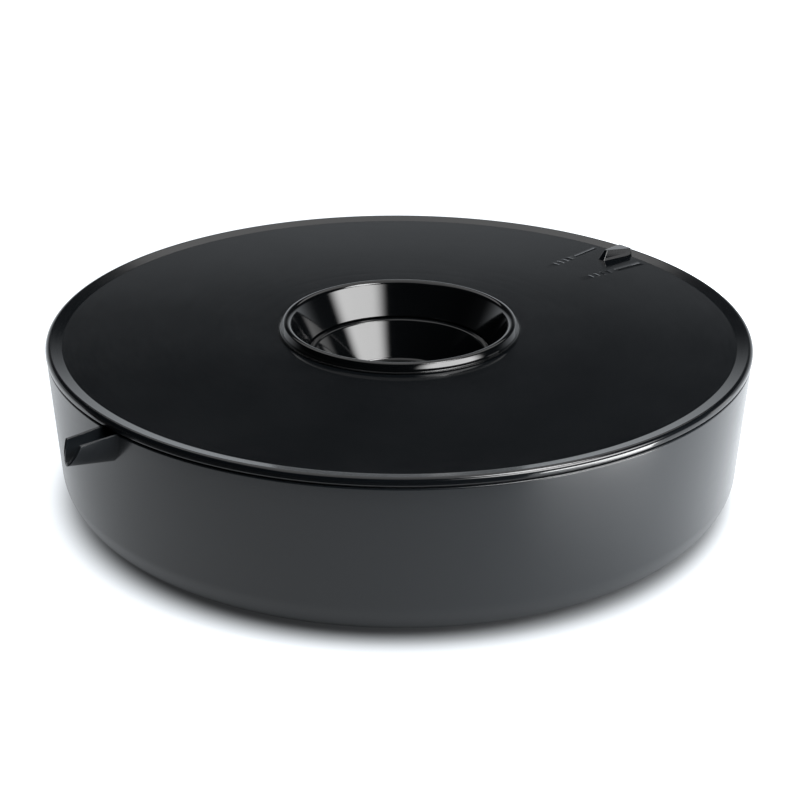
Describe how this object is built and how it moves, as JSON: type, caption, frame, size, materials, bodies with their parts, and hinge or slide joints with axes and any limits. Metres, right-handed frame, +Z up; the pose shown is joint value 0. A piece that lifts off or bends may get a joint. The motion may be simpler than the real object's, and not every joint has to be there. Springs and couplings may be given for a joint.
{
  "type": "umbrella stand",
  "caption": "Low round parasol stand: a fillable tub with a pouring spout, a flat lid that lifts off and turns, and a stepped central funnel over the pole well.",
  "frame": {"origin": "on the ground, at the centre of the round footprint, under the axis of the pole well", "axes": "+Z up along the pole's axis; +X to the right and +Y away; seen from above the spout points 222.5 degrees anticlockwise from +X, and the pointer on the lid the opposite way"},
  "size_m": [0.5, 0.5, 0.1247],
  "materials": {
    "black_satin": "satin moulded black plastic",
    "black_gloss": "polished black plastic",
    "black_rubber": "matt black rubber",
    "grey_pipe": "dull grey extruded plastic",
    "screw_steel": "bright stainless steel"
  },
  "bodies": {
    "base": {"tub": "black_satin", "pole_well": "black_gloss", "well_seal": "black_rubber", "pole_tube": "grey_pipe", "grip_ring": "black_rubber", "well_screw_1": "screw_steel", "well_screw_2": "screw_steel", "well_screw_3": "screw_steel", "well_screw_4": "screw_steel", "foot_1": "black_rubber", "foot_2": "black_rubber", "foot_3": "black_rubber", "foot_4": "black_rubber", "foot_5": "black_rubber", "foot_6": "black_rubber"},
    "collar": {"funnel_collar": "black_gloss", "slip_washer": "grey_pipe", "collar_nut": "black_satin"},
    "lid": {"lid": "black_satin", "lid_skirt": "black_satin", "rim_seal": "black_rubber"}
  },
  "joints": [
    {"name": "lid_lift", "type": "slide", "parent": "base", "child": "collar", "axis": [0, 0, 1], "range_m": [0, 0.15]},
    {"name": "lid_turn", "type": "hinge", "parent": "collar", "child": "lid", "pos_m": [0, 0, 0.1175], "axis": [0, 0, 1], "continuous": true}
  ]
}
